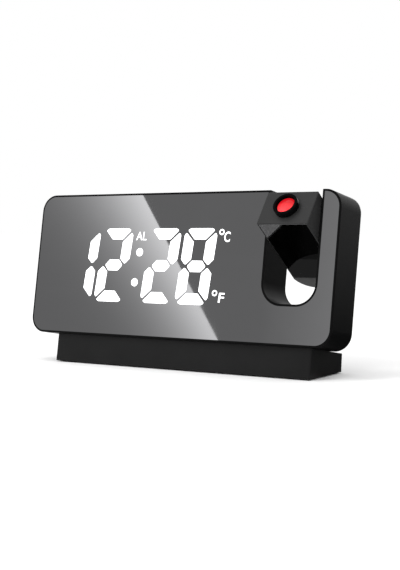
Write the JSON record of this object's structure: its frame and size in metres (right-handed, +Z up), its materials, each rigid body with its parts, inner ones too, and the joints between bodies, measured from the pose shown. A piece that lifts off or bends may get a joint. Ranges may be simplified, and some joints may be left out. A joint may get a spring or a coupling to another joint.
{
  "type": "projection alarm clock",
  "caption": "Slim bedside clock: a mirrored digital display slab leaning back on a low wedge base, with a U-shaped slot that holds a tilting projector arm and its focusing lens.",
  "frame": {"origin": "middle of the whole footprint, on the surface that the foot pads stand on", "axes": "+X to the right seen from the front, +Y from the display to the back, +Z up"},
  "size_m": [0.188, 0.057, 0.0923],
  "materials": {
    "case_plastic": "satin black moulding",
    "cover_plastic": "fine textured black moulding",
    "mirror_sheet": "dark tinted mirror sheet",
    "arm_mirror": "dark tinted mirror sheet",
    "white_plastic": "matt white moulding",
    "diffuser": "milky diffuser",
    "board": "green circuit board",
    "lamp": "lamp lens",
    "screw_steel": "zinc plated",
    "screw_black": "black oxide",
    "component_plastic": "moulded components",
    "socket_steel": "nickel plated socket shell",
    "cell_steel": "nickel plated cell can",
    "contact_brass": "contact spring leaf",
    "button_plastic": "satin black key caps",
    "snooze_plastic": "satin black bar",
    "arm_plastic": "satin black moulding",
    "ring_plastic": "black moulding",
    "red_lens": "red coated lens",
    "clear_glass": "clear",
    "bush_plastic": "low friction moulding",
    "washer_rubber": "friction washer",
    "base_plastic": "satin black moulding",
    "pad_rubber": "foot pad",
    "weight_iron": "ballast plate"
  },
  "bodies": {
    "clock_body": {"base_plate": "base_plastic", "base_plate_screws": "screw_black", "base_shell": "base_plastic", "base_weight": "weight_iron", "battery_contact": "contact_brass", "battery_holder": "component_plastic", "board_components": "component_plastic", "body_screws": "screw_steel", "buzzer": "component_plastic", "coin_cell": "cell_steel", "display_leds": "lamp", "foot_pads": "pad_rubber", "led_board": "board", "led_board_screws": "screw_steel", "light_box": "white_plastic", "main_board": "board", "main_board_screws": "screw_steel", "main_housing": "case_plastic", "mirror_panel": "mirror_sheet", "power_socket": "socket_steel", "rear_cover": "cover_plastic", "rear_cover_screws": "screw_black", "segment_diffusers": "diffuser", "snooze_board": "board", "snooze_switches": "component_plastic", "tact_switches": "component_plastic", "temperature_sensor": "component_plastic", "usb_socket": "socket_steel"},
    "projector_arm": {"arm_front_shell": "arm_plastic", "arm_rear_shell": "arm_plastic", "arm_face_plate": "arm_mirror", "arm_screws": "screw_black", "lens_barrel": "ring_plastic", "time_slide": "clear_glass", "condenser_lens": "clear_glass", "projector_lamp_board": "board", "projector_lamp": "lamp", "pivot_bush_left": "bush_plastic", "pivot_bush_right": "bush_plastic", "friction_washers": "washer_rubber", "retaining_clips": "screw_steel"},
    "focus_ring": {"focus_ring": "ring_plastic"},
    "lens_cell": {"lens_cell": "ring_plastic", "projection_lens": "red_lens"},
    "snooze_bar": {"snooze_bar": "snooze_plastic"},
    "battery_cap": {"battery_cap": "cover_plastic"},
    "mode_button": {"mode_button": "button_plastic"},
    "alarm_button": {"alarm_button": "button_plastic"},
    "up_button": {"up_button": "button_plastic"},
    "down_button": {"down_button": "button_plastic"},
    "dimmer_button": {"dimmer_button": "button_plastic"}
  },
  "joints": [
    {"name": "arm_tilt", "type": "hinge", "parent": "clock_body", "child": "projector_arm", "pos_m": [0.0689, -0.00495, 0.07025], "axis": [1, 0, 0], "range_deg": [-152.5, 27.5]},
    {"name": "focus_turn", "type": "hinge", "parent": "projector_arm", "child": "focus_ring", "pos_m": [0.0689, -0.02227, 0.0834], "axis": [0, -0.7965, 0.6046], "range_deg": [-90, 90]},
    {"name": "lens_travel", "type": "slide", "parent": "projector_arm", "child": "lens_cell", "axis": [0, -0.7965, 0.6046], "range_m": [-0.00075, 0.00075]},
    {"name": "snooze_press", "type": "slide", "parent": "clock_body", "child": "snooze_bar", "axis": [0, -0.1685, -0.9857], "range_m": [0, 0.0006], "stiffness_N_per_m": 2500},
    {"name": "battery_cap_turn", "type": "hinge", "parent": "clock_body", "child": "battery_cap", "pos_m": [-0.062, 0.00285, 0.04761], "axis": [0, 0.9857, -0.1685], "range_deg": [0, 60]},
    {"name": "mode_press", "type": "slide", "parent": "clock_body", "child": "mode_button", "axis": [0, -0.9857, 0.1685], "range_m": [0, 0.0005], "stiffness_N_per_m": 1500},
    {"name": "alarm_press", "type": "slide", "parent": "clock_body", "child": "alarm_button", "axis": [0, -0.9857, 0.1685], "range_m": [0, 0.0005], "stiffness_N_per_m": 1500},
    {"name": "up_press", "type": "slide", "parent": "clock_body", "child": "up_button", "axis": [0, -0.9857, 0.1685], "range_m": [0, 0.0005], "stiffness_N_per_m": 1500},
    {"name": "down_press", "type": "slide", "parent": "clock_body", "child": "down_button", "axis": [0, -0.9857, 0.1685], "range_m": [0, 0.0005], "stiffness_N_per_m": 1500},
    {"name": "dimmer_press", "type": "slide", "parent": "clock_body", "child": "dimmer_button", "axis": [0, -0.9857, 0.1685], "range_m": [0, 0.0005], "stiffness_N_per_m": 1500}
  ],
  "couplings": [
    {"joint": "focus_turn", "follows": "lens_travel", "rad_per_m": 2094.2}
  ]
}
